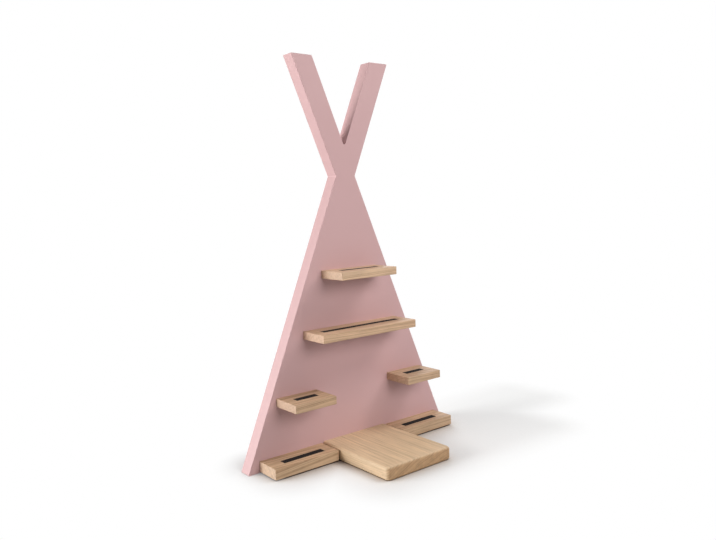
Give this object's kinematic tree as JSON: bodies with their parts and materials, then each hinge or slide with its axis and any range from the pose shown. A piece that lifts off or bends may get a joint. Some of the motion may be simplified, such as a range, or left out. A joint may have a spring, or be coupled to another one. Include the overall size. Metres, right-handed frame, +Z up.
{
  "type": "children's wall shelf",
  "caption": "Tent-shaped wall shelf in pink lacquer whose sides cross into poles at the top, with small oak shelves, inlaid steel strips and an oak platform at the foot.",
  "frame": {"origin": "on the floor, at the middle of the part's box", "axes": "+Z up; +Y towards the wall, square to the back panel; +X to the right as seen from the front"},
  "size_m": [0.445, 0.199, 0.69],
  "materials": {
    "pink_lacquer": "satin dusty pink lacquer on fibreboard",
    "oak": "oiled solid oak",
    "black_steel": "satin black coated steel",
    "zinc_steel": "bright zinc plated steel"
  },
  "bodies": {
    "root": {"back_panel": "pink_lacquer", "base_platform": "oak", "top_shelf": "oak", "middle_shelf": "oak", "side_shelf_left": "oak", "side_shelf_right": "oak", "foot_shelf_left": "oak", "foot_shelf_right": "oak", "top_shelf_steel_strip": "black_steel", "middle_shelf_steel_strip": "black_steel", "side_shelf_left_steel_strip": "black_steel", "side_shelf_right_steel_strip": "black_steel", "foot_shelf_left_steel_strip": "black_steel", "foot_shelf_right_steel_strip": "black_steel", "hanger_plate_left": "zinc_steel", "hanger_plate_right": "zinc_steel", "hanger_plate_left_screw_upper": "zinc_steel", "hanger_plate_left_screw_lower": "zinc_steel", "hanger_plate_right_screw_upper": "zinc_steel", "hanger_plate_right_screw_lower": "zinc_steel", "top_shelf_screw_1": "zinc_steel", "top_shelf_screw_2": "zinc_steel", "middle_shelf_screw_1": "zinc_steel", "middle_shelf_screw_2": "zinc_steel", "side_shelf_left_screw_1": "zinc_steel", "side_shelf_left_screw_2": "zinc_steel", "side_shelf_right_screw_1": "zinc_steel", "side_shelf_right_screw_2": "zinc_steel", "foot_shelf_left_screw_1": "zinc_steel", "foot_shelf_left_screw_2": "zinc_steel", "foot_shelf_right_screw_1": "zinc_steel", "foot_shelf_right_screw_2": "zinc_steel", "base_platform_screw_1": "zinc_steel", "base_platform_screw_2": "zinc_steel", "base_platform_screw_3": "zinc_steel"}
  },
  "joints": []
}
